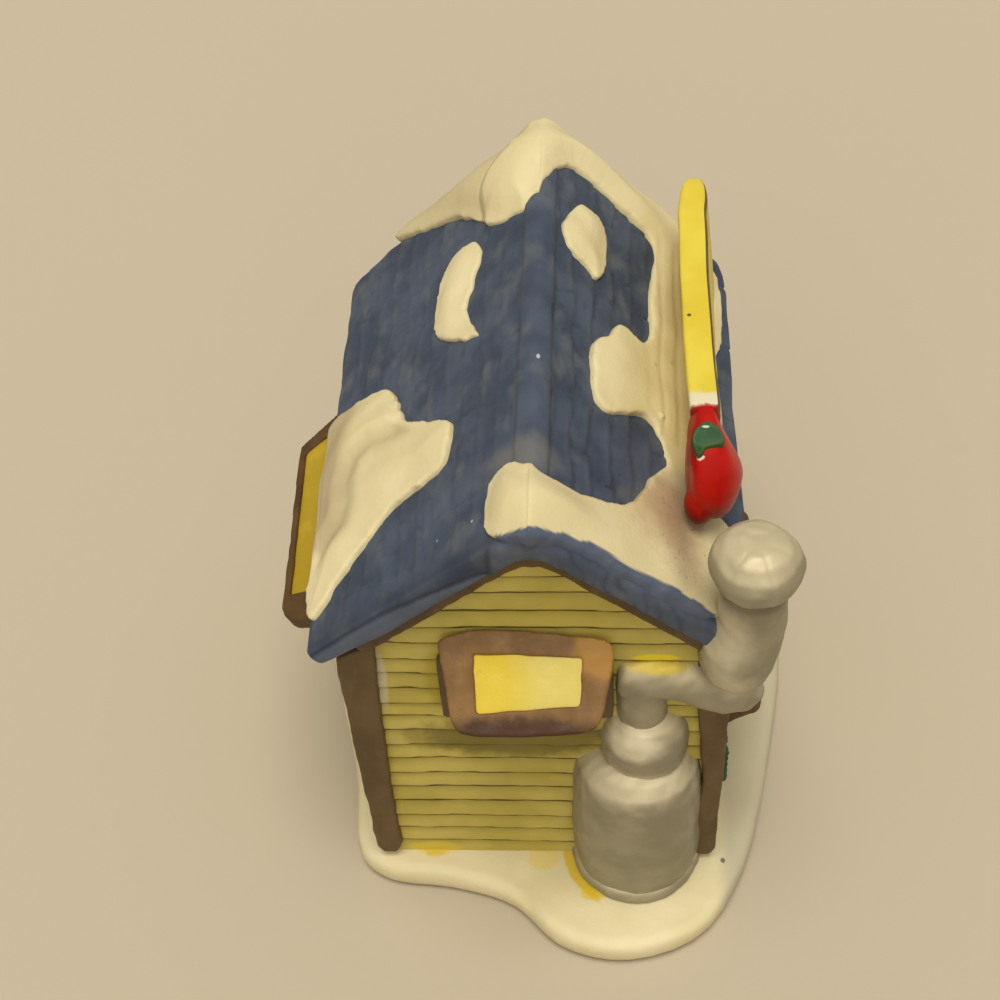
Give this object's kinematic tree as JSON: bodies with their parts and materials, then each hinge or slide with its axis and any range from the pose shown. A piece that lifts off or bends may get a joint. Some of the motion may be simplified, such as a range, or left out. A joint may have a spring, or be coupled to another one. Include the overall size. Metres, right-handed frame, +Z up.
{
  "type": "christmas village apple stand",
  "caption": "Miniature clapboard apple stall on a snow slab, with a shingled gable roof, snow, a roof sign with an apple, a tilted shutter and a pot-bellied stove with a chimney.",
  "frame": {"origin": "middle of the bounding box's footprint, on the underside of the snow slab", "axes": "+Z up; the front gable with the stove faces -Y; +X is to the right of the front, the sign's side"},
  "size_m": [0.0782, 0.0946, 0.0921],
  "materials": {
    "snow": "matte hand-painted bisque, cream white",
    "board": "matte hand-painted bisque, olive yellow",
    "timber": "matte hand-painted bisque, dark brown",
    "shingle": "matte hand-painted bisque, slate blue",
    "glow": "satin hand-painted bisque, warm yellow",
    "sign": "satin hand-painted bisque, bright yellow",
    "apple": "glossy red paint",
    "leaf": "semi-gloss green paint",
    "iron": "satin silver-grey paint on bisque"
  },
  "bodies": {
    "root": {"snow_base": "snow", "roof_snow_back_left": "snow", "roof_snow_crescent": "snow", "roof_snow_drift_left": "snow", "roof_snow_front_left": "snow", "roof_snow_front_right": "snow", "roof_snow_strip_right": "snow", "roof_snow_sign_foot": "snow", "roof_snow_back_right": "snow", "roof_snow_spot_right": "snow", "wall_front": "board", "wall_back": "board", "wall_left": "board", "wall_right": "board", "post_front_left": "timber", "post_front_right": "timber", "post_back_left": "timber", "post_back_right": "timber", "bargeboard_front_left": "timber", "bargeboard_front_right": "timber", "bargeboard_back_left": "timber", "bargeboard_back_right": "timber", "window_frame_front": "timber", "window_frame_left": "timber", "window_frame_right": "timber", "shutter_frame_front": "timber", "shutter_frame_left": "timber", "counter_frame": "timber", "roof_left": "shingle", "roof_right": "shingle", "ridge_cap": "shingle", "window_pane_front": "glow", "window_pane_left": "glow", "window_pane_right": "glow", "shutter_pane_front": "glow", "shutter_pane_left": "glow", "counter_pane": "glow", "sign_board": "sign", "apple": "apple", "apple_leaf": "leaf", "wreath": "leaf", "stove_foot_ring": "iron", "stove_drum": "iron", "stove_collar": "iron", "stove_pipe": "iron", "stove_elbow": "iron", "stove_flue": "iron", "chimney_stack": "iron", "chimney_cap": "iron"}
  },
  "joints": []
}
